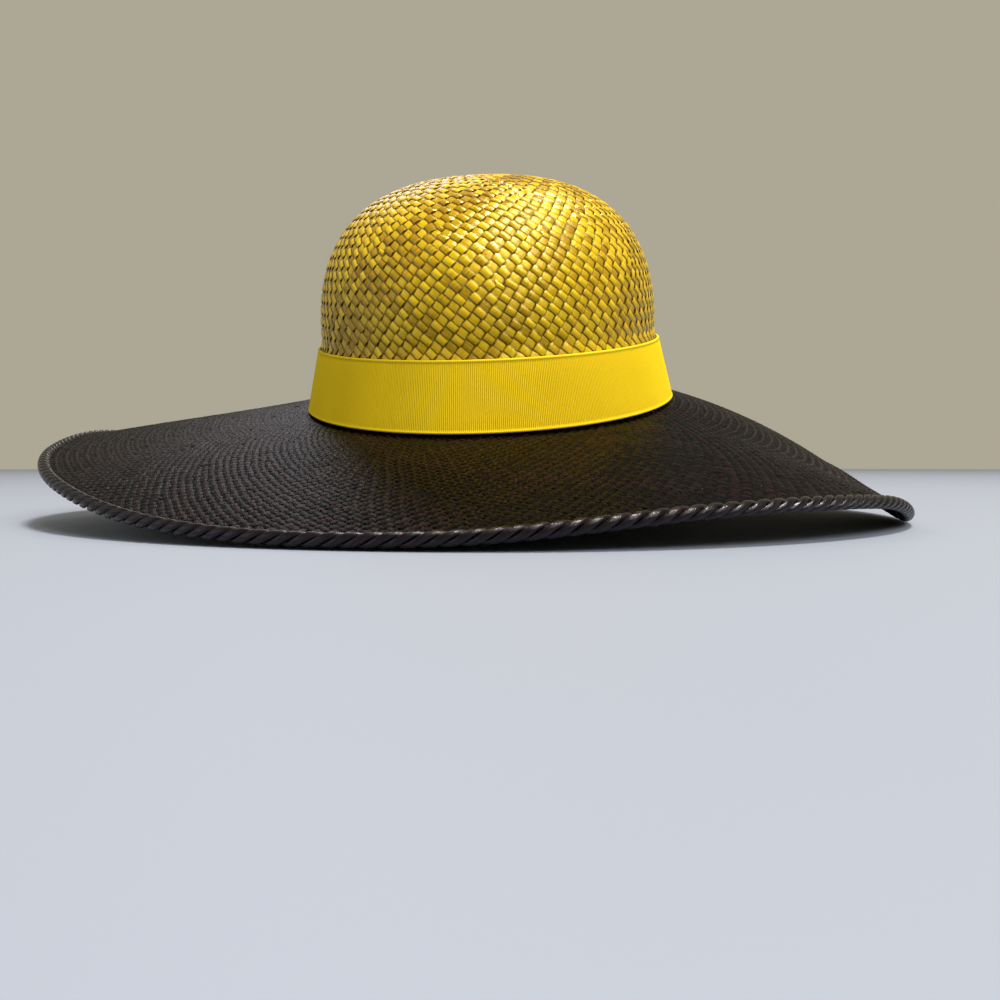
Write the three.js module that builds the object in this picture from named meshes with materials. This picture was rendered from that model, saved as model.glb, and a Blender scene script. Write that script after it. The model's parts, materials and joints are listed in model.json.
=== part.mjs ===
// Wide-brimmed sun hat of lacquered straw: a domed crown, a ribbon round it,
// a wavy brim and the plaited edge that binds the brim's rim.
//
// Every piece is first laid out on the head line, the oval where crown and
// brim meet: X to the wearer's side, Y from the face to the nape, Z up the
// crown. The whole hat is then tipped on to the three lowest places of its
// rim, as it stands by itself on a table, with the origin under its middle.
// All lengths are millimetres and all angles degrees.

import * as THREE from 'three';

const SEGMENTS = 72; // steps round the head line, the same for every piece
const GAP = 0.3; // clearance between neighbouring pieces

const CROWN = {
  halfWidth: 83,
  halfLength: 100,
  height: 99,
  wall: 1.8,
  sideHeight: 30, // the nearly upright side, below the dome
  sideLean: 0.087, // share of its reach that the side loses by its top
  squareness: 2.54, // superellipse exponent of the dome, 2 would be round
  sideSteps: 3,
  domeSteps: 8,
  tipReach: 0.13, // share of the reach left to the flat tip
};

const RIBBON = {
  bottom: 1,
  top: 27,
  thickness: 1,
  selvedge: 1.6, // height and thickness of the corded upper edge
};

const COLLAR = { height: 12, wall: 1.2 }; // brim's inner edge, turned up inside the crown

const BRIM = {
  width: 104, // along the straw, from the head line to the plaited edge
  wall: 1.8,
  steps: 8,
  droopAtCrown: 0.6, // share of the mean droop right beside the crown
};

const EDGE = {
  bead: 4.8, // width of the plaited rim
  beadThickness: 5,
  hem: 13, // width of the border turned back under the brim, one step of the brim
  hemWall: 1.2,
};

// How far the brim slopes down, seen round the hat: 0 is the right side,
// 90 the nape, 180 the left side and 270 the forehead.
const DROOP = [
  { azimuth: 0, droop: 27 },
  { azimuth: 22.5, droop: 26 },
  { azimuth: 45, droop: 26.5 },
  { azimuth: 67.5, droop: 41 },
  { azimuth: 90, droop: 52 },
  { azimuth: 112.5, droop: 52.5 },
  { azimuth: 135, droop: 41 },
  { azimuth: 157.5, droop: 19 },
  { azimuth: 180, droop: 7 },
  { azimuth: 202.5, droop: 3.5 },
  { azimuth: 225, droop: 3 },
  { azimuth: 247.5, droop: 4.5 },
  { azimuth: 270, droop: 4 },
  { azimuth: 292.5, droop: 3 },
  { azimuth: 315, droop: 9 },
  { azimuth: 337.5, droop: 22 },
];

// Attitude on a table: the hat nods forward and leans a little to its left.
const STANCE = { nod: 12, lean: -1 };

const radians = THREE.MathUtils.degToRad;

// The droop at any azimuth (radians), on a smooth closed curve through the rows.
function droopAt(azimuth) {
  const step = radians(DROOP[1].azimuth - DROOP[0].azimuth);
  const place = azimuth / step;
  const row = Math.floor(place);
  const t = place - row;
  const [p0, p1, p2, p3] = [-1, 0, 1, 2].map(
    (k) => DROOP[(row + k + DROOP.length) % DROOP.length].droop,
  );
  const slope1 = (p2 - p0) / 2;
  const slope2 = (p3 - p1) / 2;
  const cubic = 2 * p1 - 2 * p2 + slope1 + slope2;
  const square = 3 * p2 - 3 * p1 - 2 * slope1 - slope2;
  return radians(((cubic * t + square) * t + slope1) * t + p1);
}

// A point of the oval that is `share` of the head line's size, moved `out`
// along the head line's normal and `up` along the crown's axis.
function onOval(azimuth, share, out, up) {
  const { halfWidth, halfLength } = CROWN;
  const c = Math.cos(azimuth);
  const s = Math.sin(azimuth);
  const normal = new THREE.Vector2(halfLength * c, halfWidth * s).normalize();
  return new THREE.Vector3(
    halfWidth * share * c + out * normal.x,
    halfLength * share * s + out * normal.y,
    up,
  );
}

// The share of the head line's size that the crown's side has at a height.
const sideShare = (up) => 1 - CROWN.sideLean * Math.max(0, up / CROWN.sideHeight);

// Lofts a closed body from rows of points: `section(azimuth)` gives the row at
// each azimuth, listed clockwise as seen with the crown's axis on the left.
// A closed section makes a ring. An open one starts and ends in a flat face.
// Every quad is split along the diagonal from its inner corner to its outer
// one, so that skins that face each other stay parallel where they twist.
function loft(section, { closed }) {
  const rows = Array.from({ length: SEGMENTS }, (_, i) => section((i / SEGMENTS) * 2 * Math.PI));
  const count = rows[0].length;
  const positions = rows.flat().flatMap((p) => [p.x, p.y, p.z]);
  const indices = [];
  const at = (i, j) => (i % SEGMENTS) * count + (j % count);
  const reach = (p) => Math.hypot(p.x, p.y);
  for (let i = 0; i < SEGMENTS; i += 1) {
    for (let j = 0; j < (closed ? count : count - 1); j += 1) {
      const [a, b, c, d] = [at(i, j), at(i, j + 1), at(i + 1, j + 1), at(i + 1, j)];
      const outward = reach(rows[i][(j + 1) % count]) > reach(rows[i][j]);
      indices.push(...(outward ? [a, b, c, a, c, d] : [a, b, d, b, c, d]));
    }
  }
  if (!closed) {
    for (let i = 1; i < SEGMENTS - 1; i += 1) {
      indices.push(at(0, 0), at(i, 0), at(i + 1, 0));
      indices.push(at(0, count - 1), at(i + 1, count - 1), at(i, count - 1));
    }
  }
  const geometry = new THREE.BufferGeometry();
  geometry.setAttribute('position', new THREE.Float32BufferAttribute(positions, 3));
  geometry.setIndex(indices);
  geometry.computeVertexNormals();
  return geometry;
}

// Crown: an upright side that leans in and a dome on top, hollow and open below.
function crownGeometry() {
  const profile = [];
  for (let k = CROWN.domeSteps; k > 0; k -= 1) {
    const tip = Math.acos(CROWN.tipReach ** (CROWN.squareness / 2));
    const angle = (tip * k) / CROWN.domeSteps;
    profile.push({
      share: (1 - CROWN.sideLean) * Math.cos(angle) ** (2 / CROWN.squareness),
      up: CROWN.sideHeight
        + (CROWN.height - CROWN.sideHeight) * Math.sin(angle) ** (2 / CROWN.squareness),
    });
  }
  for (let k = CROWN.sideSteps; k >= 0; k -= 1) {
    const up = (CROWN.sideHeight * k) / CROWN.sideSteps;
    profile.push({ share: sideShare(up), up });
  }
  const mean = (CROWN.halfWidth + CROWN.halfLength) / 2;
  const lining = profile
    .map(({ share, up }) => ({
      share: share * (1 - CROWN.wall / mean),
      up: up * (1 - CROWN.wall / CROWN.height),
    }))
    .reverse();
  const outline = [...profile, ...lining];
  const section = (azimuth) => outline.map(({ share, up }) => onOval(azimuth, share, 0, up));
  return loft(section, { closed: false });
}

// Ribbon: a flat grosgrain band on the crown's side with a corded upper edge.
function ribbonGeometry() {
  const { bottom, top, thickness, selvedge } = RIBBON;
  const outline = [
    [GAP, top],
    [GAP + selvedge, top],
    [GAP + selvedge, top - selvedge],
    [GAP + thickness, top - selvedge - thickness / 2],
    [GAP + thickness, bottom],
    [GAP, bottom],
  ];
  const section = (azimuth) => outline.map(([out, up]) => onOval(azimuth, sideShare(up), out, up));
  return loft(section, { closed: true });
}

// A place on the brim: `along` the straw from the head line and `deep` below
// its upper face. The slope grows evenly from the crown to the rim.
function onBrim(azimuth, along, deep) {
  const droop = droopAt(azimuth);
  const first = droop * BRIM.droopAtCrown;
  const bend = (2 * (droop - first)) / BRIM.width;
  const strides = 16;
  let out = 0;
  let up = -GAP;
  for (let k = 0; k < strides; k += 1) {
    const slope = first + bend * along * ((k + 0.5) / strides);
    out += (along / strides) * Math.cos(slope);
    up -= (along / strides) * Math.sin(slope);
  }
  const slope = first + bend * along;
  return onOval(azimuth, 1, out - deep * Math.sin(slope), up - deep * Math.cos(slope));
}

// Brim: one sheet of straw whose inner edge turns up inside the crown.
function brimGeometry() {
  const seat = -(CROWN.wall + GAP); // outer face of the collar
  const inside = seat - COLLAR.wall;
  const { height } = COLLAR;
  const reach = Array.from({ length: BRIM.steps + 1 }, (_, k) => (BRIM.width * k) / BRIM.steps);
  const section = (azimuth) => [
    onOval(azimuth, sideShare(height), inside, height),
    onOval(azimuth, sideShare(height), seat, height),
    onOval(azimuth, 1, seat, -GAP),
    ...reach.map((along) => onBrim(azimuth, along, 0)),
    ...reach.slice(1).reverse().map((along) => onBrim(azimuth, along, BRIM.wall)),
    onOval(azimuth, 1, inside, -GAP - BRIM.wall),
  ];
  return loft(section, { closed: true });
}

// Edge: the plaited rim, and the border that runs back from it under the brim.
function edgeGeometry() {
  const { bead, beadThickness, hem, hemWall } = EDGE;
  const near = BRIM.width + GAP;
  const far = near + bead;
  const top = (BRIM.wall - beadThickness) / 2; // the rim stands proud of both faces
  const bottom = top + beadThickness;
  const bevel = beadThickness * 0.3;
  const hemTop = BRIM.wall + GAP;
  const outline = [
    [near, top + bevel],
    [near + bevel, top],
    [far - bevel, top],
    [far, top + bevel],
    [far, bottom - bevel],
    [far - bevel, bottom],
    [near + bevel, bottom],
    [BRIM.width - hem, hemTop + hemWall],
    [BRIM.width - hem, hemTop],
    [near, hemTop],
  ];
  const section = (azimuth) => outline.map(([along, deep]) => onBrim(azimuth, along, deep));
  return loft(section, { closed: true });
}

function piece(name, geometry, color, roughness) {
  const mesh = new THREE.Mesh(
    geometry,
    new THREE.MeshStandardMaterial({ color, roughness, metalness: 0 }),
  );
  mesh.name = name;
  return mesh;
}

const tipped = new THREE.Group();
tipped.add(
  piece('crown', crownGeometry(), 0xd2a521, 0.35),
  piece('hat_band', ribbonGeometry(), 0xd9bb20, 0.6),
  piece('brim', brimGeometry(), 0x1c1416, 0.4),
  piece('edge_braid', edgeGeometry(), 0x150f11, 0.4),
);
tipped.rotation.set(radians(STANCE.nod), radians(STANCE.lean), 0);
tipped.updateMatrixWorld(true);

// Stand the hat on the table, with the middle of its box over the origin.
const box = new THREE.Box3().setFromObject(tipped, true);
const middle = box.getCenter(new THREE.Vector3());
tipped.position.set(-middle.x, -middle.y, -box.min.z);

const hat = new THREE.Group();
hat.add(tipped);
hat.updateMatrixWorld(true);

export default hat;
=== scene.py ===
"""Wide-brimmed sun hat of lacquered straw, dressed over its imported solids.

Crown and brim are woven for real. Two sets of flat straws slant across each
other, one over, one under, on rows that run round the hat, and new straws
are set in between the old ones wherever the rows grow longer. No shaped
primitive gives such a weave, so straws, ribbon and rope are worked out point
by point and go straight into meshes.

The hat is laid out in millimetres on its own axes, as a hatter would: X to
the wearer's side, Y from face to nape, Z up the crown, and zero on the head
line, where crown and brim meet. placed() then tips it on to the table.
"""

import json
import math

import bpy
import numpy as np
from mathutils import Matrix, Vector


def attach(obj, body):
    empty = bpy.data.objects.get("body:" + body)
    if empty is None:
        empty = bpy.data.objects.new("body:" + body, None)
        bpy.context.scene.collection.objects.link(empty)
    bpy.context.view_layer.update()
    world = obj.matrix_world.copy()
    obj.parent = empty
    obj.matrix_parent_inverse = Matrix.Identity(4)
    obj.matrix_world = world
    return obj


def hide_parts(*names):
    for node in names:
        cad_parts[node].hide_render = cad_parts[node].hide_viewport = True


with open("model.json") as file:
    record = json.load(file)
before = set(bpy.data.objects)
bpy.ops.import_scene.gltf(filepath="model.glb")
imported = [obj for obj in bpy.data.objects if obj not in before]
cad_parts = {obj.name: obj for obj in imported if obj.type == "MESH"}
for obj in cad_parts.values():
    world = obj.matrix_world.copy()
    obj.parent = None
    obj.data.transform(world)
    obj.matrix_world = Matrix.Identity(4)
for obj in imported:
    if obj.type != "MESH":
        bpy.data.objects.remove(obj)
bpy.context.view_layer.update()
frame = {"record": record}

MM = 0.001
FULL_TURN = 2 * math.pi
rng = np.random.default_rng(11)

# ---------------------------------------------------------------- sizes, mm

HALF_WIDTH, HALF_LENGTH = 83.0, 100.0  # the head line's oval
WALL = 1.8  # of crown and brim
GAP = 0.3  # between neighbours

CROWN_HEIGHT = 99.0
SIDE_HEIGHT = 30.0  # the nearly upright side, below the dome
SIDE_LEAN = 0.087  # share of its reach that the side loses by its top
SQUARENESS = 2.54  # superellipse exponent of the dome, 2 would be round
TIP_REACH = 0.13  # share of the side's reach that is left to the flat tip

RIBBON_BOTTOM, RIBBON_TOP = 0.4, 27.0

BRIM_WIDTH = 104.0  # along the straw, from the head line to the rim
DROOP_AT_CROWN = 0.6  # share of the mean droop right beside the crown
COLLAR_HEIGHT = 12.0  # the brim's inner edge, turned up inside the crown
COLLAR_INSET = 2.1  # from the crown's outside to the collar's

EDGE_BEAD = 4.8  # width of the rope on the rim
HEM = 13.0  # width of the border turned back under the brim

# Degrees that the brim slopes down, every 22.5 degrees round the hat from its
# right side (seen from the front): right, nape, left, forehead and back.
DROOP = np.array([
    27, 26, 26.5, 41, 52, 52.5, 41, 19,
    7, 3.5, 3, 4.5, 4, 3, 9, 22,
])

# How it stands on a table: nodding forward, and leaning a little to the left as
# seen from the front.
NOD, LEAN = math.radians(12), math.radians(-1)


# ------------------------------------------------------- the hat's surfaces

def oval(azimuth, share, out, up):
    """Points on `share` of the head line's oval, `out` along its normal and `up` the crown."""
    c, s = np.cos(azimuth), np.sin(azimuth)
    nx, ny = HALF_LENGTH * c, HALF_WIDTH * s
    size = np.hypot(nx, ny)
    return np.stack([
        HALF_WIDTH * share * c + out * nx / size,
        HALF_LENGTH * share * s + out * ny / size,
        up + 0 * azimuth,
    ], axis=-1)


def side_share(up):
    """The share of the head line's size that the crown's side has at a height."""
    return 1 - SIDE_LEAN * np.maximum(0, up / SIDE_HEIGHT)


def crown_meridian(steps=240):
    """Distance from the tip, share of the head line and height, from the tip to the head line."""
    angle = np.linspace(math.pi / 2, 0, steps)
    share = (1 - SIDE_LEAN) * np.abs(np.cos(angle)) ** (2 / SQUARENESS)
    up = SIDE_HEIGHT + (CROWN_HEIGHT - SIDE_HEIGHT) * np.sin(angle) ** (2 / SQUARENESS)
    share, up = np.append(share, 1.0), np.append(up, 0.0)
    reach = share * (HALF_WIDTH + HALF_LENGTH) / 2
    along = np.concatenate([[0], np.cumsum(np.hypot(np.diff(reach), np.diff(up)))])
    return along, share, up


CROWN_MERIDIAN = crown_meridian()
CROWN_LENGTH = CROWN_MERIDIAN[0][-1]


def on_crown(azimuth, along):
    """A place on the crown, `along` from its tip."""
    distance, share, up = CROWN_MERIDIAN
    return oval(azimuth, np.interp(along, distance, share), 0, np.interp(along, distance, up))


def droop_at(azimuth):
    """The brim's droop in radians, on a smooth closed curve through the sixteen values."""
    place = np.asarray(azimuth) / FULL_TURN * len(DROOP)
    row = np.floor(place).astype(int)
    t = place - row
    before, here, there, beyond = (DROOP[(row + k) % len(DROOP)] for k in (-1, 0, 1, 2))
    slope, slope_there = (there - before) / 2, (beyond - here) / 2
    cubic = 2 * here - 2 * there + slope + slope_there
    square = 3 * there - 3 * here - 2 * slope - slope_there
    return np.radians(((cubic * t + square) * t + slope) * t + here)


def on_brim(azimuth, along, deep=0.0):
    """A place on the brim, `along` from the head line and `deep` below its upper face.

    The brim's slope grows evenly on the way to the rim, so its section is an
    arc. Below zero, `along` climbs a fold and then the collar in the crown."""
    droop = droop_at(azimuth)
    first = droop * DROOP_AT_CROWN
    bend = 2 * (droop - first) / BRIM_WIDTH
    flat = np.maximum(along, 0)
    half_turn = bend * flat / 2
    chord = flat * np.sinc(half_turn / math.pi)
    slope = first + bend * flat
    out = chord * np.cos(first + half_turn)
    up = -GAP - chord * np.sin(first + half_turn)

    radius = COLLAR_INSET / (1 - np.sin(first))
    fold = np.clip(-along, 0, radius * (math.pi / 2 - first))
    rise = np.maximum(-along - fold, 0)
    half_fold = fold / radius / 2
    fold_chord = fold * np.sinc(half_fold / math.pi)
    out = out - fold_chord * np.cos(first + half_fold)
    up = up + fold_chord * np.sin(first + half_fold)
    slope = slope + 2 * half_fold

    out, up = out - deep * np.sin(slope), up + rise - deep * np.cos(slope)
    return oval(azimuth, side_share(rise), out, up)


def under_brim(azimuth, along):
    """A place on the border that is turned back under the brim."""
    return on_brim(azimuth, along, WALL + GAP)


def in_rim(azimuth, along):
    """A place half-way through the brim's wall, where the rim's rope runs."""
    return on_brim(azimuth, along, WALL / 2)


def normals(place, azimuth, along):
    """Which way a surface faces, from the places a little to either side."""
    step, turn = 0.2, 0.003  # mm along the straw, and radians round the hat
    outward = place(azimuth, along + step) - place(azimuth, along - step)
    around = place(azimuth + turn, along) - place(azimuth - turn, along)
    normal = np.cross(outward, around)
    return normal / np.linalg.norm(normal, axis=-1, keepdims=True)


def hat_to_table():
    """The turn and the shift from the hat's own axes to the table.

    They are pinned where the inside of the crown's tip bears on a stand,
    which is the record's one mount."""
    turn = Matrix.Rotation(NOD, 3, "X") @ Matrix.Rotation(LEAN, 3, "Y")
    stand = frame["record"]["mounts"][0]["pos_m"]
    _, share, up = CROWN_MERIDIAN
    outside = np.interp(TIP_REACH * (1 - SIDE_LEAN), share, up)
    inside = (outside * (1 - WALL / CROWN_HEIGHT)) * MM
    return np.array(turn), np.array(Vector(stand) - turn @ Vector((0, 0, inside)))


TURN, SHIFT = hat_to_table()


def placed(points):
    """Millimetres on the hat's axes to metres on the table."""
    return points * MM @ TURN.T + SHIFT


# ------------------------------------------------------------------ weaving

FEWEST = 4  # crossings on a net's first row, at the least
GOLDEN = 0.618034  # turns from one new straw to the next, so that they never line up
ROUNDS, PULL, MOMENTUM = 260, 0.8, 0.9  # how long and how firmly the crossings are spread
JITTER = 0.03  # of the pitch: straws are laid by hand, and no crossing is exactly in its place


class Row:
    """One row of crossings round the hat: how azimuth and length along it match."""

    def __init__(self, place, along):
        self.azimuth = np.linspace(0, FULL_TURN, 361)  # every degree
        line = place(self.azimuth, np.full_like(self.azimuth, along))
        steps = np.linalg.norm(np.diff(line, axis=0), axis=1)
        self.run = np.concatenate([[0], np.cumsum(steps)])
        self.length = self.run[-1]

    def to_run(self, azimuth):
        turns = np.floor(azimuth / FULL_TURN)
        part = np.interp(azimuth - turns * FULL_TURN, self.azimuth, self.run)
        return part + turns * self.length

    def to_azimuth(self, run):
        turns = np.floor(run / self.length)
        part = np.interp(run - turns * self.length, self.run, self.azimuth)
        return part + turns * FULL_TURN

    def evenly(self, count):
        """Azimuths that share the row into equal lengths."""
        return self.to_azimuth(np.arange(count) / count * self.length)


class Net:
    """The crossings of a plain weave on a surface, and how its straws run from one to the next.

    Crossings lie on rows and, half-way between two rows, in the middle of
    each cell. A cell has four corners on its two rows, or three where a new
    pair of straws is set in. The pitch is the length between crossings on a
    row, and the slant is how far they move on from each row to the next."""

    def __init__(self, place, alongs, pitch, slant):
        self.rows = [Row(place, along) for along in alongs]
        self.counts = self._counts(pitch)
        azimuths = self._set_in(pitch, slant)
        self._spread(azimuths, slant)
        self._number(azimuths, alongs, pitch)
        self.points = place(self.azimuth, self.along)
        self.normals = normals(place, self.azimuth, self.along)

    def _counts(self, pitch):
        """Crossings on each row: never fewer than on the row before, and at most twice as many."""
        counts = [max(round(self.rows[0].length / pitch), FEWEST)]
        for row in self.rows[1:]:
            wanted = max(round(row.length / pitch), counts[-1])
            counts.append(min(wanted, 2 * counts[-1]))
        return counts

    def _set_in(self, pitch, slant):
        """Carries the crossings on from row to row and sets new ones in between them."""
        azimuths = [self.rows[0].evenly(self.counts[0])]
        self.parents = [None]  # of each crossing on a row, the one it comes from
        fraction = 0.0
        for row, before, count in zip(self.rows[1:], self.counts[:-1], self.counts[1:]):
            split = np.zeros(before, dtype=int)
            for _ in range(count - before):
                fraction = (fraction + GOLDEN) % 1
                i = int(fraction * before)
                while split[i]:
                    i = (i + 1) % before
                split[i] = 1
            parent = np.repeat(np.arange(before), 1 + split)
            self.parents.append(parent)
            run = row.to_run(azimuths[-1][parent]) + slant
            newer = np.append([False], parent[1:] == parent[:-1])
            azimuths.append(row.to_azimuth(run + np.where(newer, pitch / 2, 0)))
        return azimuths

    def _spread(self, azimuths, slant):
        """Spreads the crossings evenly along each row while the columns keep their slant."""
        firsts = [np.searchsorted(p, np.arange(p[-1] + 1)) for p in self.parents[1:]]
        drift = [np.zeros_like(azimuth) for azimuth in azimuths]
        for _ in range(ROUNDS):
            fresh = []
            for k, (row, azimuth) in enumerate(zip(self.rows, azimuths)):
                run = row.to_run(azimuth)
                left, right = np.roll(run, 1), np.roll(run, -1)
                left[0] -= row.length
                right[-1] += row.length
                total, weight = left + right, 2.0
                if k:
                    above = azimuths[k - 1][self.parents[k]]
                    total = total + row.to_run(above) + slant
                    weight += 1
                if k + 1 < len(azimuths):
                    share = np.bincount(self.parents[k + 1])
                    below = np.add.reduceat(azimuths[k + 1], firsts[k]) / share
                    # the slant is a length on the next row, and this row may be shorter
                    back = slant * row.length / self.rows[k + 1].length
                    total = total + row.to_run(below) - back
                    weight += 1
                moved = row.to_azimuth(run + PULL * (total / weight - run))
                fresh.append(moved + MOMENTUM * drift[k])
            drift = [new - old for new, old in zip(fresh, azimuths)]
            azimuths[:] = fresh

    def _number(self, azimuths, alongs, pitch):
        """Numbers the crossings, rows first and cell middles after, and names each cell's corners."""
        offsets = np.concatenate([[0], np.cumsum(self.counts)])
        corners, middles, middle_along, level = [], [], [], []
        for k, parent in enumerate(self.parents[1:], start=1):
            here = np.arange(self.counts[k])
            there = np.roll(here, -1)
            corners.append(np.stack([
                offsets[k - 1] + parent, offsets[k - 1] + parent[there],
                offsets[k] + here, offsets[k] + there,
            ], axis=1))
            ends = np.stack([
                azimuths[k - 1][parent], azimuths[k - 1][parent[there]],
                azimuths[k][here], azimuths[k][there],
            ], axis=1)
            ends += FULL_TURN * np.round((ends[:, 2:3] - ends) / FULL_TURN)
            middles.append(ends.mean(axis=1))
            middle_along.append(np.full(self.counts[k], (alongs[k - 1] + alongs[k]) / 2))
            level.append(np.full(self.counts[k], k - 0.5))
        self.on_rows = offsets[-1]
        corners = np.concatenate(corners).T
        self.upper_left, self.upper_right, self.lower_left, self.lower_right = corners
        self.middle = self.on_rows + np.arange(len(self.upper_left))
        self.azimuth = np.concatenate([*azimuths, *middles])
        self.along = np.concatenate([np.repeat(alongs, self.counts), *middle_along])
        self.level = np.concatenate([np.repeat(np.arange(len(alongs)), self.counts), *level])
        step = pitch * JITTER
        self.azimuth = self.azimuth + rng.normal(0, step, len(self.azimuth)) / HALF_LENGTH
        self.along = self.along + rng.normal(0, step, len(self.along))

    def links(self, leans_left):
        """Start and end crossing of every stretch of straw, and whether it is a new straw's first."""
        upper = self.upper_right if leans_left else self.upper_left
        lower = self.lower_left if leans_left else self.lower_right
        start = np.concatenate([upper, self.middle])
        end = np.concatenate([self.middle, lower])
        new = np.concatenate([self.upper_left == self.upper_right, np.zeros(len(lower), bool)])
        return start, end, new

    def mean_link(self, leans_left):
        """At each crossing, the mean of the stretches of straw that meet there."""
        start, end, new = self.links(leans_left)
        start, end = start[~new], end[~new]
        vector = self.points[end] - self.points[start]
        total, count = np.zeros_like(self.points), np.zeros(len(self.points))
        for at in (start, end):
            np.add.at(total, at, vector)
            np.add.at(count, at, 1)
        return total / np.maximum(count, 1)[:, None]

    def straws(self, leans_left):
        """Which straw passes each crossing."""
        straw = np.full(len(self.points), -1)
        straw[:self.counts[0]] = np.arange(self.counts[0])
        fresh = self.counts[0]
        upper = self.upper_right if leans_left else self.upper_left
        lower = self.lower_left if leans_left else self.lower_right
        new = self.upper_left == self.upper_right
        first = 0
        for count in self.counts[1:]:
            cells = np.arange(first, first + count)
            numbers = straw[upper[cells]]
            added = new[cells]
            numbers[added] = fresh + np.arange(added.sum())
            fresh += added.sum()
            straw[self.middle[cells]] = numbers
            straw[lower[cells]] = numbers
            first += count
        return straw


# ------------------------------------------------------------------- meshes

def quad_mesh(name, points, quads, material, uv=None, values=None, sharp=50):
    """An object from points in hat millimetres and quads, with a UV per corner and values per point.

    Edges that turn by more than `sharp` degrees stay crisp."""
    mesh = bpy.data.meshes.new(name)
    mesh.vertices.add(len(points))
    mesh.vertices.foreach_set("co", placed(points).astype(np.float32).ravel())
    mesh.loops.add(quads.size)
    mesh.loops.foreach_set("vertex_index", quads.astype(np.int32).ravel())
    mesh.polygons.add(len(quads))
    mesh.polygons.foreach_set("loop_start", np.arange(0, quads.size, 4, dtype=np.int32))
    mesh.update(calc_edges=True)
    mesh.polygons.foreach_set("use_smooth", np.ones(len(quads), bool))
    if uv is not None:
        layer = mesh.uv_layers.new(name="straw")
        layer.data.foreach_set("uv", uv.astype(np.float32).ravel())
    for label, value in (values or {}).items():
        attribute = mesh.attributes.new(label, "FLOAT", "POINT")
        attribute.data.foreach_set("value", value.astype(np.float32))
    mesh.set_sharp_from_angle(angle=math.radians(sharp))
    mesh.materials.append(material)
    piece = bpy.data.objects.new(name, mesh)
    bpy.context.scene.collection.objects.link(piece)
    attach(piece, "root")
    return piece


def tube_quads(rings, sides, flip=False):
    """Quads of a tube that closes on itself, its points numbered ring after ring.

    Points that run round the other way need `flip`, so that faces point outwards."""
    ring, side = np.meshgrid(np.arange(rings), np.arange(sides), indexing="ij")
    corners = [(0, 0), (1, 0), (1, 1), (0, 1)] if flip else [(0, 0), (0, 1), (1, 1), (1, 0)]
    return np.stack([
        (ring + i) % rings * sides + (side + j) % sides for i, j in corners
    ], axis=-1).reshape(-1, 4)


def strip_skin(chain, outline, level):
    """Quads and UVs of strips through the chained sections. U runs across, V counts the rows."""
    size = len(outline)
    ring = np.arange(size)
    corner = np.stack([ring, np.roll(ring, -1)], axis=1)
    across = (outline[:, 0] + 1) / 2
    quads, uv = [], []
    for near, far in zip(chain[:-1], chain[1:]):
        a, b = near[:, None] * size, far[:, None] * size
        quad = [a + corner[:, 0], a + corner[:, 1], b + corner[:, 1], b + corner[:, 0]]
        quads.append(np.stack(quad, axis=-1).reshape(-1, 4))
        u = np.broadcast_to(across[corner], (len(near), size, 2))
        va, vb = (np.broadcast_to(level[at][:, None], (len(near), size)) for at in (near, far))
        pairs = [(u[..., 0], va), (u[..., 1], va), (u[..., 1], vb), (u[..., 0], vb)]
        uv.append(np.stack([np.stack(pair, -1) for pair in pairs], axis=-2).reshape(-1, 4, 2))
    return quads, uv


BREADTH_SPREAD = 0.07  # how much straws differ in breadth
BROADEST = 1.1  # lanes that a straw fills at most
FLATNESS = 0.6  # below 1, a straw stays high for longer and dips more steeply
WAVE_SPREAD = 0.08  # how much the heights of its waves differ
START_BREADTH, START_HEIGHT = 0.8, -1.9  # shares: a new straw starts narrower, under the others


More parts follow.
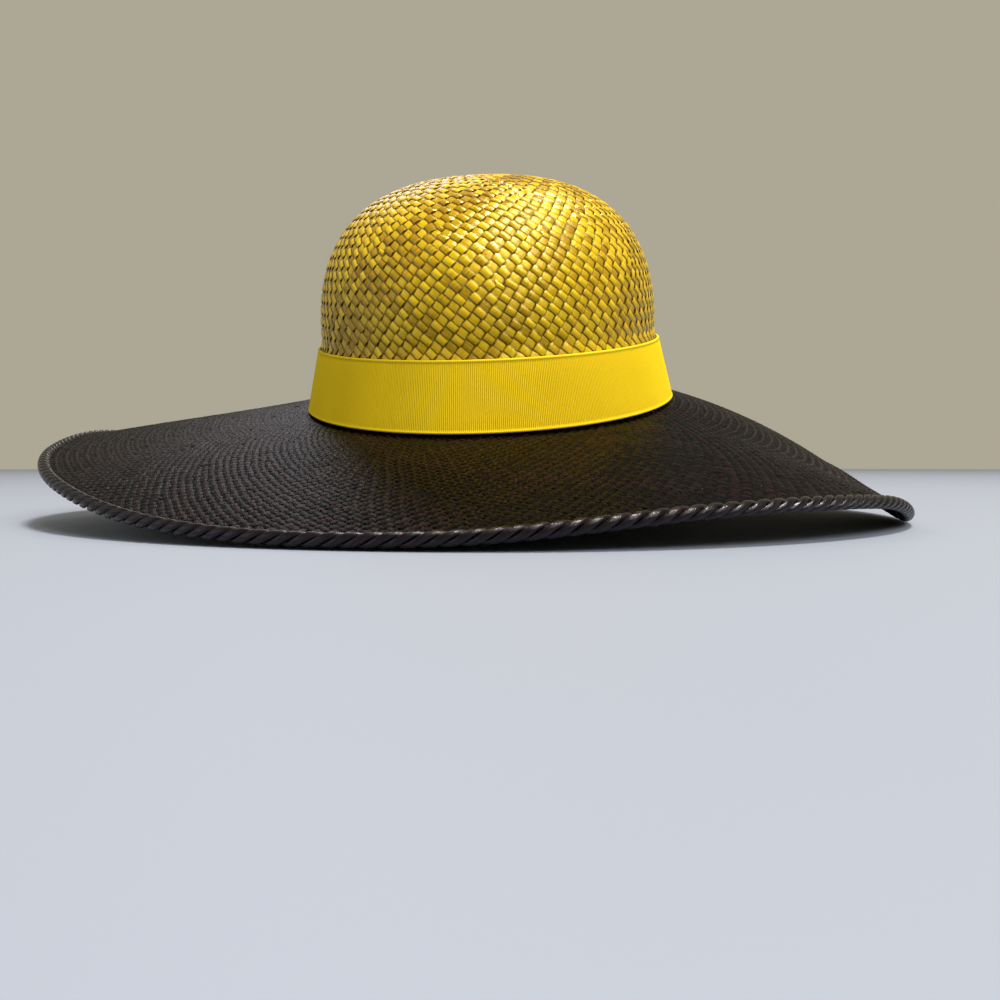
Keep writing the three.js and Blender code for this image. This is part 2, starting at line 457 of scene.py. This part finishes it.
def strands(name, net, leans_left, straw, material):
    """One set of straws of a woven net, each a flat strip that waves over and under the other set.

    straw: outline (across in half widths, height in mm), caps (quads that
    close an end), fill (share of its lane), wave and sink (mm) and bends
    (shares of the way between two crossings)."""
    start, end, new = net.links(leans_left)
    own, other = net.mean_link(leans_left), net.mean_link(not leans_left)
    own_length = np.linalg.norm(own, axis=1, keepdims=True)
    across = np.cross(own / own_length, net.normals)
    lane = np.linalg.norm(np.cross(own, other), axis=1, keepdims=True) / own_length
    number = net.straws(leans_left)
    broad = rng.normal(1, BREADTH_SPREAD, number.max() + 1)[number][:, None]
    half = across * np.minimum(lane * straw["fill"] * broad, lane * BROADEST) / 2
    over = 1.0 if leans_left else -1.0
    height = np.where(np.arange(len(net.points)) < net.on_rows, -over, over)

    def between(values, t):
        return values[start] * (1 - t) + values[end] * t

    # sections at all crossings, at the bends between them, and where new straws start
    sections = [(net.points, net.normals, half, height, net.level, number)]
    link_number = number[net.middle][np.arange(len(start)) % len(net.middle)]
    for t in straw["bends"]:
        wave = math.copysign(abs(math.cos(math.pi * t)) ** FLATNESS, math.cos(math.pi * t))
        sections.append((
            between(net.points, t), between(net.normals, t), between(half, t),
            height[start] * wave, between(net.level, t), link_number,
        ))
    newcomers = np.flatnonzero(new)
    sections.append((
        net.points[start[newcomers]], net.normals[start[newcomers]],
        half[end[newcomers]] * START_BREADTH, np.full(len(newcomers), START_HEIGHT),
        net.level[start[newcomers]], number[end[newcomers]],
    ))
    centre, normal, half, height, level, number = map(np.concatenate, zip(*sections))

    outline = np.array(straw["outline"])
    spread = 1 + rng.normal(0, WAVE_SPREAD, len(height))
    lift = height * straw["wave"] * spread - straw["sink"]
    points = (centre[:, None] + half[:, None] * outline[None, :, :1]
              + normal[:, None] * (lift[:, None, None] + outline[None, :, 1:]))

    # the sections that each stretch of straw runs through
    first = start.copy()
    first[newcomers] = len(centre) - len(newcomers) + np.arange(len(newcomers))
    bends = [len(net.points) + k * len(start) + np.arange(len(start))
             for k in range(len(straw["bends"]))]
    quads, uv = strip_skin([first, *bends, end], outline, level)

    caps = np.array(straw["caps"])
    opened, closed = np.setdiff1d(first, end), np.setdiff1d(end, start)
    for at, order in ((opened, caps[:, ::-1]), (closed, caps)):
        quads.append((at[:, None, None] * len(outline) + order[None]).reshape(-1, 4))
        uv.append(np.full((len(at) * len(caps), 4, 2), 0.5))
    shade = rng.random(number.max() + 1)[number]
    # straw_height also sets the painted shade where a straw dips under its neighbours
    return quad_mesh(
        name, points.reshape(-1, 3), np.concatenate(quads), material, np.concatenate(uv),
        {"straw_shade": np.repeat(shade, len(outline)),
         "straw_height": np.repeat(height, len(outline))},
        sharp=55,
    )


# ---------------------------------------------------------------- materials

def linear(hex_code, alpha=1.0):
    """An sRGB hex colour as the linear values that shaders take."""
    channels = [int(hex_code[i:i + 2], 16) / 255 for i in (1, 3, 5)]
    return (*[c / 12.92 if c <= 0.04045 else ((c + 0.055) / 1.055) ** 2.4 for c in channels], alpha)


def new_material(name):
    material = bpy.data.materials.new(name)
    material.use_nodes = True
    tree = material.node_tree
    return material, tree, tree.nodes["Principled BSDF"]


def add(tree, kind, inputs=None, stops=None, **settings):
    """Adds a node with its settings, its links and, on a colour ramp, its stops.

    An input is a value, or the output socket that feeds it."""
    made = tree.nodes.new(kind)
    for label, value in settings.items():
        setattr(made, label, value)
    for label, value in (inputs or {}).items():
        if isinstance(value, bpy.types.NodeSocket):
            tree.links.new(value, made.inputs[label])
        else:
            made.inputs[label].default_value = value
    if stops:
        elements = made.color_ramp.elements
        while len(elements) < len(stops):
            elements.new(0.5)
        for element, (position, colour) in zip(elements, stops):
            element.position, element.color = position, linear(colour)
    return made


FIBRE_RUN = 0.9  # noise steps from one row to the next: a fibre keeps its tone for about a float
FIBRE_SHIFT = 57.0  # noise steps from the darkest straw to the lightest: no two look alike
FIBRE_TONE = 1.1  # how much the fibres of one straw take up of the range of shades
FIBRE_RELIEF = 0.3 * MM
EDGE_UNSHADED = 0.3  # painted shade in the seams between straws: of the colour left on a straw's very edge


def lacquered_straw(name, shades, low, fibre, ior, gloss, gleam, tint):
    """Flat split straw, dyed and varnished.

    Each straw has its own shade and fine fibres run along it. Painted shade
    darkens it to its edges, in the seams between straws, and where it dips under
    its neighbours; each float has a gleam.
    shades: from the darkest straw to the lightest; low: the colour of
    the painted shade in the furrows and seams; fibre: fibres across a straw;
    gloss: roughness; gleam and tint: strength and colour of the reflection."""
    material, tree, shader = new_material(name)
    shade = add(tree, "ShaderNodeAttribute", attribute_name="straw_shade").outputs["Fac"]
    height = add(tree, "ShaderNodeAttribute", attribute_name="straw_height").outputs["Fac"]
    uv = add(tree, "ShaderNodeUVMap", uv_map="straw").outputs["UV"]

    # fibres: noise drawn out along the straw, and another part of it for each straw
    apart = add(tree, "ShaderNodeVectorMath", {0: shade, 1: (0, 0, FIBRE_SHIFT)},
                operation="MULTIPLY").outputs[0]
    place = add(tree, "ShaderNodeVectorMath", {0: uv, 1: (fibre, FIBRE_RUN, 0), 2: apart},
                operation="MULTIPLY_ADD").outputs[0]
    fibres = add(tree, "ShaderNodeTexNoise", {
        "Vector": place, "Scale": 1.0, "Detail": 3.0, "Roughness": 0.6,
    }).outputs["Fac"]
    drift = add(tree, "ShaderNodeMath", {0: fibres, 1: -0.5}, operation="ADD").outputs[0]
    varied = add(tree, "ShaderNodeMath", {0: drift, 1: FIBRE_TONE, 2: shade},
                 operation="MULTIPLY_ADD").outputs[0]
    colour = add(tree, "ShaderNodeValToRGB", {"Fac": varied}, stops=shades).outputs["Color"]

    # painted shade in the seams between straws: on either side, the outer tenth of a straw's breadth
    # darkens to its edge
    across = add(tree, "ShaderNodeSeparateXYZ", {"Vector": uv}).outputs["X"]
    offset = add(tree, "ShaderNodeMath", {0: across, 1: 0.5}, operation="SUBTRACT").outputs[0]
    aside = add(tree, "ShaderNodeMath", {0: offset}, operation="ABSOLUTE").outputs[0]
    edge = add(tree, "ShaderNodeMapRange", {
        "Value": aside, "From Min": 0.4, "From Max": 0.5, "To Min": 1.0, "To Max": EDGE_UNSHADED,
    }).outputs["Result"]
    # painted shade: a float keeps its own colour on both faces of the weave, and darkens where it
    # slips under its neighbours
    slip = add(tree, "ShaderNodeMath", {0: height}, operation="ABSOLUTE").outputs[0]
    lifted = add(tree, "ShaderNodeMapRange", {
        "Value": slip, "From Min": 0.05, "From Max": 0.6,
    }).outputs["Result"]
    unshaded = add(tree, "ShaderNodeMath", {0: lifted, 1: edge}, operation="MULTIPLY").outputs[0]
    # the painted shade colour mixed into the straw's colour in the furrows and seams
    tone_and_painted_shade = add(tree, "ShaderNodeMixRGB", {"Fac": unshaded, "Color1": linear(low), "Color2": colour})
    tree.links.new(tone_and_painted_shade.outputs["Color"], shader.inputs["Base Color"])

    rough = add(tree, "ShaderNodeMapRange", {
        "Value": fibres, "From Min": 0.3, "From Max": 0.7,
        "To Min": gloss - 0.06, "To Max": gloss + 0.12,
    })
    tree.links.new(rough.outputs["Result"], shader.inputs["Roughness"])
    shader.inputs["IOR"].default_value = ior
    shader.inputs["Specular IOR Level"].default_value = gleam
    shader.inputs["Specular Tint"].default_value = linear(tint)
    bump = add(tree, "ShaderNodeBump", {
        "Height": fibres, "Strength": 0.6, "Distance": FIBRE_RELIEF,
    })
    tree.links.new(bump.outputs["Normal"], shader.inputs["Normal"])
    return material


# A full coat of varnish, of which 1.5 is the usual IOR, gives every float a
# bright and warm gleam. A straw is up to 4.6 mm broad, a fibre half a
# millimetre.
GOLD_STRAW = lacquered_straw(
    "straw, golden, varnished",
    [(0.0, "#947200"), (0.25, "#AE8C00"), (0.5, "#C2A002"), (0.9, "#D2B20C"), (1.0, "#CEA81E")],
    low="#402600", fibre=9.0, ior=1.5, gloss=0.2, gleam=0.95, tint="#FFE98C",
)
# So little varnish is left on the brim that it hardly mirrors the room, even
# at a glancing view: the IOR is far below varnish. Only the lamps give it
# faint gleams. A straw is about 3 mm broad, a fibre half a millimetre.
DARK_SHADES = [(0.0, "#040304"), (0.35, "#080507"), (0.7, "#0E070A"), (1.0, "#1A0A0E")]
DARK_STRAW = lacquered_straw(
    "straw, black-brown, little varnish",
    DARK_SHADES, low="#010101", fibre=6.0, ior=1.08, gloss=0.26, gleam=1.0, tint="#E6DDF0",
)
# The rim has the same straw under its full varnish, for a wet-looking rope.
RIM_STRAW = lacquered_straw(
    "straw, black-brown, varnished",
    DARK_SHADES, low="#010101", fibre=6.0, ior=1.45, gloss=0.24, gleam=0.4, tint="#E6DDF0",
)

YARN_NOISE = 1800.0  # steps to a metre: yarn of 0.55 mm
WEAR_NOISE = 40.0  # steps to a metre: clouds of wear, 25 mm wide
YARN_TONE, WEAR_TONE = 0.4, 0.35  # how much each takes up of the ribbon's range of shades


def grosgrain():
    """Corded ribbon of dyed yarn: matt with a soft sheen, specked with yarn, with painted shade in
    its furrows and painted light on its ribs.
    """
    material, tree, shader = new_material("grosgrain ribbon, yellow")
    rib = add(tree, "ShaderNodeAttribute", attribute_name="rib").outputs["Fac"]
    where = add(tree, "ShaderNodeTexCoord").outputs["Object"]
    yarn = add(tree, "ShaderNodeTexNoise", {
        "Vector": where, "Scale": YARN_NOISE, "Detail": 2.0,
    }).outputs["Fac"]
    wear = add(tree, "ShaderNodeTexNoise", {
        "Vector": where, "Scale": WEAR_NOISE, "Detail": 2.0,
    }).outputs["Fac"]
    tone_and_painted_shade = add(tree, "ShaderNodeMath", {0: wear, 1: WEAR_TONE, 2: rib},
               operation="MULTIPLY_ADD").outputs[0]
    speck = add(tree, "ShaderNodeMath", {0: yarn, 1: YARN_TONE, 2: tone_and_painted_shade},
                operation="MULTIPLY_ADD").outputs[0]
    colour = add(tree, "ShaderNodeValToRGB", {"Fac": speck}, stops=[
        (0.15, "#664F04"), (0.5, "#C0A010"), (0.8, "#D4B614"), (1.0, "#E0C418"),
    ])
    tree.links.new(colour.outputs["Color"], shader.inputs["Base Color"])
    shader.inputs["Roughness"].default_value = 0.7
    shader.inputs["Specular IOR Level"].default_value = 0.1
    shader.inputs["Sheen Weight"].default_value = 0.04
    shader.inputs["Sheen Roughness"].default_value = 0.4
    shader.inputs["Sheen Tint"].default_value = linear("#FFE98A")
    bump = add(tree, "ShaderNodeBump", {"Height": yarn, "Strength": 0.3, "Distance": 0.2 * MM})
    tree.links.new(bump.outputs["Normal"], shader.inputs["Normal"])
    return material


RIBBON = grosgrain()


# -------------------------------------------------------------------- crown

CROWN_PITCH, CROWN_ROW, CROWN_SLANT = 6.0, 4.95, 1.8
FIRST_ROW = 1.1  # from the tip, close enough for its straws to meet over the pole
LAST_ROW = 3.5  # from the head line, behind the ribbon

# The set that shows most is broad and arched, the other one flatter and narrower.
BROAD_STRAW = {
    "outline": [
        (-1, -0.05), (-0.68, 0.24), (0.62, 0.28), (1, -0.05), (0.94, -0.25), (-0.94, -0.25),
    ],
    "caps": [(0, 1, 4, 5), (1, 2, 3, 4)],
    "fill": 1.02, "wave": 0.5, "sink": 0.62, "bends": (0.27, 0.66),
}
NARROW_STRAW = {
    **BROAD_STRAW,
    "outline": [
        (-1, 0.02), (-0.7, 0.18), (0.7, 0.18), (1, 0.02), (0.94, -0.25), (-0.94, -0.25),
    ],
    "fill": 0.95, "wave": 0.32, "sink": 0.86,
}


def row_places(first, last, apart):
    """Where rows lie along the straw, about `apart` from one to the next."""
    return np.linspace(first, last, round((last - first) / apart) + 1)


def build_crown():
    """The dome and the side, down to behind the ribbon."""
    rows = row_places(FIRST_ROW, CROWN_LENGTH - LAST_ROW, CROWN_ROW)
    net = Net(on_crown, rows, CROWN_PITCH, CROWN_SLANT)
    for name, leans_left, straw in (
        ("crown_straw_left", True, BROAD_STRAW),
        ("crown_straw_right", False, NARROW_STRAW),
    ):
        piece = strands(name, net, leans_left, straw, GOLD_STRAW)
        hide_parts("crown")


# --------------------------------------------------------------------- brim

BRIM_PITCH, BRIM_ROW, BRIM_SLANT = 4.5, 3.8, 1.2
CAUGHT_IN_ROPE = 1.2  # how far the last row runs into the rim's rope

FINE_STRAW = {
    "outline": [(-1, 0.0), (0, 0.28), (1, 0.0), (0, -0.28)],
    "caps": [(0, 1, 2, 3)],
    "fill": 1.05, "wave": 0.38, "sink": 0.9, "bends": (0.5,),
}


def build_brim():
    """The brim, and the collar that holds it in the crown."""
    rows = row_places(-COLLAR_HEIGHT, BRIM_WIDTH + CAUGHT_IN_ROPE, BRIM_ROW)
    net = Net(on_brim, rows, BRIM_PITCH, BRIM_SLANT)
    for name, leans_left in (("brim_straw_left", True), ("brim_straw_right", False)):
        piece = strands(name, net, leans_left, FINE_STRAW, DARK_STRAW)
        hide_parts("brim")


HEM_PITCH, HEM_ROW = 5.6, 4.2
HEM_FIRST, HEM_LAST = BRIM_WIDTH - HEM + 0.8, BRIM_WIDTH + 0.5  # in the thin cord, in the rope

HEM_STRAW = {
    "outline": [(-1, 0.0), (0, 0.3), (1, 0.0), (0, -0.4)],
    "caps": [(0, 1, 2, 3)],
    "fill": 0.8, "wave": 0.35, "sink": 0.7, "bends": (0.5,),
}


def build_hem():
    """The border turned back under the brim: an open, coarser net of the same straw."""
    rows = row_places(HEM_FIRST, HEM_LAST, HEM_ROW)
    net = Net(under_brim, rows, HEM_PITCH, HEM_PITCH / 2)
    for name, leans_left in (("hem_straw_left", True), ("hem_straw_right", False)):
        piece = strands(name, net, leans_left, HEM_STRAW, DARK_STRAW)
        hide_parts("edge_braid")


# ------------------------------------------------------------------- ribbon

RIB_PITCH = 0.75
RIB_RELIEF = 0.34
RIB_PROFILE = np.array([0.0, 0.7, 1.0, 0.7])  # furrow, flank, ridge and flank of one rib
RIBBON_THICKNESS = 0.5
FURROW_TONE, RIB_PAINTED_LIGHT, CORD_TONE = 0.2, 0.5, 0.3  # what each adds to the ribbon's lightness: a base, painted light that lifts the ribs above the painted shade of the furrows, and an even middle lightness on the corded edges
LAP_MIDDLE, LAP_WIDTH = 97.0, 7.0  # degrees: where its ends overlap, near the nape

# From either edge of the ribbon inwards: distance from the edge, thickness,
# and the share of their relief that the ribs have there.
CORDED_EDGE = [
    (0.0, 0.0, 0.0), (-0.1, 0.5, 0.1), (0.25, 0.88, 0.35),
    (0.7, 0.82, 0.4), (1.0, 0.5, 0.8), (1.7, RIBBON_THICKNESS, 1.0),
]


def build_ribbon():
    """A flat band with upright ribs, on the crown's side, with a corded edge above and below."""
    row = Row(on_crown, CROWN_LENGTH)
    columns = round(row.length / RIB_PITCH) * len(RIB_PROFILE)
    azimuth = row.evenly(columns)
    bulge = RIB_PROFILE[np.arange(columns) % len(RIB_PROFILE)]
    levels = [(RIBBON_TOP - down, out, relief) for down, out, relief in CORDED_EDGE]
    levels += [(up, RIBBON_THICKNESS, 1.0)
               for up in np.linspace(RIBBON_TOP - 7, RIBBON_BOTTOM + 6, 3)]
    levels += [(RIBBON_BOTTOM + rise, out, relief) for rise, out, relief in reversed(CORDED_EDGE)]
    from_lap = np.abs(np.degrees(azimuth) % 360 - LAP_MIDDLE)
    lap = RIBBON_THICKNESS * (from_lap < LAP_WIDTH / 2)
    points, value = [], []
    for up, out, relief in levels:
        lift = GAP + out + RIB_RELIEF * relief * bulge + lap * (out > 0)
        points.append(oval(azimuth, side_share(up), lift, up))
        # painted light on the ribs and painted shade in the furrows; the corded edges get an even
        # middle lightness
        value.append(FURROW_TONE + RIB_PAINTED_LIGHT * bulge * relief + CORD_TONE * (1 - relief))
    points, value = np.stack(points, axis=1), np.stack(value, axis=1)
    piece = quad_mesh(
        "ribbon", points.reshape(-1, 3), tube_quads(columns, len(levels)), RIBBON,
        values={"rib": value.ravel()}, sharp=70,
    )
    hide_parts("hat_band")


# --------------------------------------------------------------------- edge

STRAND_SHADES = (0.2, 0.5, 0.8)  # the rope's three strands, from dark to light
ROPE_LOBE = 5.6  # from one strand to the next, along the rim
ROPE_RINGS, ROPE_SIDES = 14, 12  # rings to a turn of the rope, and points to a ring
ROPE_ORBIT = 1.25  # from the rope's middle to a strand's
STRAND_DEEP, STRAND_BROAD = 1.2, 1.35  # half the strand's size, outwards and round the rope
STRAND_FURROW = 0.16  # of its depth: a furrow down the middle of each strand
STRAWS_ROUND, ROWS_TO_TURN = 2, 4  # straws round a strand, and rows of straw to a turn


def build_edge():
    """The rim's rope: three flat strands twisted round each other."""
    middle = BRIM_WIDTH + GAP + EDGE_BEAD / 2
    row = Row(in_rim, middle)
    turns = round(row.length / (ROPE_LOBE * len(STRAND_SHADES)))
    steps = turns * ROPE_RINGS
    run = np.arange(steps) / steps * row.length
    azimuth = row.to_azimuth(run)
    along = np.full_like(azimuth, middle)
    centre, normal = in_rim(azimuth, along), normals(in_rim, azimuth, along)
    tangent = np.roll(centre, -1, axis=0) - np.roll(centre, 1, axis=0)
    tangent /= np.linalg.norm(tangent, axis=1, keepdims=True)
    outward = np.cross(tangent, normal)
    around = np.arange(ROPE_SIDES) / ROPE_SIDES * FULL_TURN
    furrow = 1 - STRAND_FURROW * np.cos(around) ** 8
    deep = (np.cos(around) * STRAND_DEEP * furrow)[None, :, None]
    broad = (np.sin(around) * STRAND_BROAD)[None, :, None]

    quads = tube_quads(steps, ROPE_SIDES)
    ring, side = np.divmod(np.arange(len(quads)), ROPE_SIDES)
    uv = np.stack([
        np.stack([side, side + 1, side + 1, side], -1) / ROPE_SIDES * STRAWS_ROUND,
        np.stack([ring, ring, ring + 1, ring + 1], -1) / ROPE_RINGS * ROWS_TO_TURN,
    ], -1)
    points, strand_quads, strand_shades = [], [], []
    for k, shade in enumerate(STRAND_SHADES):
        lay = FULL_TURN * (turns * run / row.length + k / len(STRAND_SHADES))
        orbit = np.cos(lay)[:, None] * outward + np.sin(lay)[:, None] * normal
        over = np.cross(tangent, orbit)
        axis = centre + orbit * ROPE_ORBIT
        points.append(axis[:, None] + orbit[:, None] * deep + over[:, None] * broad)
        strand_quads.append(quads + k * len(quads))
        strand_shades.append(np.full(len(quads), shade))
    shades = np.concatenate(strand_shades)
    piece = quad_mesh(
        "edge_rope", np.concatenate(points).reshape(-1, 3), np.concatenate(strand_quads),
        RIM_STRAW, np.concatenate([uv] * len(STRAND_SHADES)),
        {"straw_shade": shades, "straw_height": np.ones(len(shades))}, sharp=80,
    )
    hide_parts("edge_braid")


CORD_RINGS, CORD_SIDES = 420, 8
CORD_RADIUS = 0.55
CORD_DEEP = 0.6  # from the border's upper face down to the cord's middle
CORD_SHADE = 0.8


def build_ridge():
    """A thin cord under the brim, where the turned-back border ends."""
    azimuth = Row(on_brim, BRIM_WIDTH - HEM).evenly(CORD_RINGS)
    points = []
    for angle in np.arange(CORD_SIDES) / CORD_SIDES * FULL_TURN:
        along = BRIM_WIDTH - HEM + CORD_RADIUS * (1 + math.cos(angle))
        deep = WALL + GAP + CORD_DEEP - CORD_RADIUS * math.sin(angle)
        points.append(on_brim(azimuth, along, deep))
    quads = tube_quads(CORD_RINGS, CORD_SIDES, flip=True)
    piece = quad_mesh(
        "hem_cord", np.stack(points, axis=1).reshape(-1, 3), quads, RIM_STRAW,
        np.zeros((len(quads), 4, 2)),
        {"straw_shade": np.full(len(quads), CORD_SHADE), "straw_height": np.ones(len(quads))},
        sharp=80,
    )
    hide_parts("edge_braid")


build_crown()
build_brim()
build_hem()
build_ribbon()
build_edge()
build_ridge()


# --------------------------------------------------- floor, light and camera

def studio_floor():
    bpy.ops.object.select_all(action="DESELECT")
    bpy.ops.mesh.primitive_circle_add(
        vertices=96, radius=3.0, fill_type="NGON", location=(0, 0, 0),
    )
    floor = bpy.context.object
    floor.name = "floor"
    material, _, shader = new_material("floor, pale paint")
    shader.inputs["Base Color"].default_value = linear("#8991A5")
    shader.inputs["Roughness"].default_value = 0.6
    floor.data.materials.append(material)


def area_light(name, location, target, size, power, colour):
    """A round lamp, sizes in metres and power in watts, turned towards its target."""
    data = bpy.data.lights.new(name, "AREA")
    data.shape, data.size, data.energy, data.color = "DISK", size, power, linear(colour)[:3]
    light = bpy.data.objects.new(name, data)
    light.location = location
    light.rotation_euler = (Vector(target) - Vector(location)).to_track_quat("-Z", "Y").to_euler()
    bpy.context.scene.collection.objects.link(light)


def studio():
    """Two lamps over the front for the crown's gleams, one behind for the brim's, and a fill."""
    studio_floor()
    area_light("ceiling lamp", (0.65, -0.3, 2.75), (0, 0, 0.1), 0.6, 106, "#FFF6E4")
    area_light("front lamp", (1.65, -1.8, 2.25), (0, 0, 0.1), 2.0, 82, "#FFFAF0")
    area_light("back lamp", (-0.88, 2.5, 2.25), (0, 0, 0.1), 1.0, 9, "#F4F2FF")
    area_light("fill", (-3.2, -2.0, 1.4), (0, 0, 0.05), 3.0, 25, "#F2F4FF")
    world = bpy.data.worlds.new("room")
    world.use_nodes = True
    background = world.node_tree.nodes["Background"]
    background.inputs["Color"].default_value = linear("#CAC5AF")
    background.inputs["Strength"].default_value = 0.7
    bpy.context.scene.world = world
    # a plain display curve: the default one fades bright yellow to cream
    bpy.context.scene.view_settings.view_transform = "Standard"


def camera():
    """A short lens close to the hat, a little right of its front and just above the table."""
    data = bpy.data.cameras.new("camera")
    data.sensor_width, data.lens, data.clip_start = 36.0, 34.2, 0.01
    view = bpy.data.objects.new("camera", data)
    view.location = (0.044, -0.439, 0.024)
    view.rotation_euler = (math.radians(90 - 2.3), 0, math.radians(4.4))
    bpy.context.scene.collection.objects.link(view)
    bpy.context.scene.camera = view


studio()
camera()
